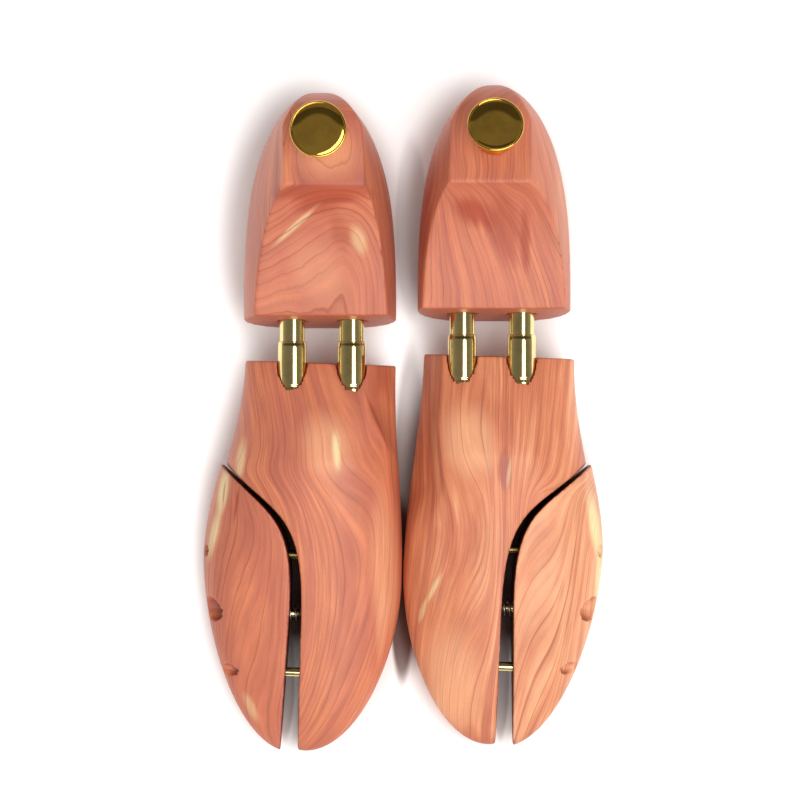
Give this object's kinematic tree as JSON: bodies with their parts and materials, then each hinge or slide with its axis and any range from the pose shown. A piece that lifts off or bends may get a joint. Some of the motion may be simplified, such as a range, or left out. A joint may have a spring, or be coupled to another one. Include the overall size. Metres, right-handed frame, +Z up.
{
  "type": "shoe stretcher pair",
  "caption": "Pair of wooden shoe stretchers with a split sprung toe piece, a heel block sliding on sprung twin tubes, and a pull knob.",
  "frame": {"origin": "centre of the pair's footprint, on the surface that the soles and heels rest on", "axes": "+Z up, +Y from the toes to the heels, +X across the pair towards the outer side of the left foot's tree"},
  "size_m": [0.1734, 0.287, 0.0904],
  "materials": {
    "cedar": "fine sanded and lightly oiled, salmon pink with cream streaks",
    "brass": "polished",
    "spring_steel": "bright drawn wire"
  },
  "bodies": {
    "foreparts": {"left_forepart_main": "cedar", "left_outer_tube_1": "brass", "left_outer_tube_2": "brass", "left_tube_spring_1": "spring_steel", "left_tube_spring_2": "spring_steel", "left_guide_pin_rear": "brass", "left_guide_pin_front": "brass", "left_wing_screw": "brass", "left_wing_spring": "spring_steel", "right_forepart_main": "cedar", "right_outer_tube_1": "brass", "right_outer_tube_2": "brass", "right_tube_spring_1": "spring_steel", "right_tube_spring_2": "spring_steel", "right_guide_pin_rear": "brass", "right_guide_pin_front": "brass", "right_wing_screw": "brass", "right_wing_spring": "spring_steel"},
    "left_wing": {"left_forepart_wing": "cedar"},
    "left_heel": {"left_heel_block": "cedar", "left_inner_tube_1": "brass", "left_inner_tube_2": "brass", "left_knob": "brass", "left_knob_stud": "brass"},
    "right_wing": {"right_forepart_wing": "cedar"},
    "right_heel": {"right_heel_block": "cedar", "right_inner_tube_1": "brass", "right_inner_tube_2": "brass", "right_knob": "brass", "right_knob_stud": "brass"}
  },
  "joints": [
    {"name": "left_heel_slide", "type": "slide", "parent": "foreparts", "child": "left_heel", "axis": [0, -1, 0], "range_m": [0, 0.0145], "stiffness_N_per_m": 2400, "springref_m": -0.006, "deforming": ["left_tube_spring_1", "left_tube_spring_2"]},
    {"name": "left_wing_swing", "type": "hinge", "parent": "foreparts", "child": "left_wing", "pos_m": [0.06349, 0.0284, 0.02], "axis": [0, 0, -1], "range_deg": [0, 2.4], "stiffness_Nm_per_rad": 18, "springref_deg": -2.12, "deforming": ["left_wing_spring"]},
    {"name": "right_heel_slide", "type": "slide", "parent": "foreparts", "child": "right_heel", "axis": [0, -1, 0], "range_m": [0, 0.0145], "stiffness_N_per_m": 2400, "springref_m": -0.006, "deforming": ["right_tube_spring_1", "right_tube_spring_2"]},
    {"name": "right_wing_swing", "type": "hinge", "parent": "foreparts", "child": "right_wing", "pos_m": [-0.05758, 0.02708, 0.02], "axis": [0, 0, 1], "range_deg": [0, 2.4], "stiffness_Nm_per_rad": 18, "springref_deg": -2.12, "deforming": ["right_wing_spring"]}
  ]
}
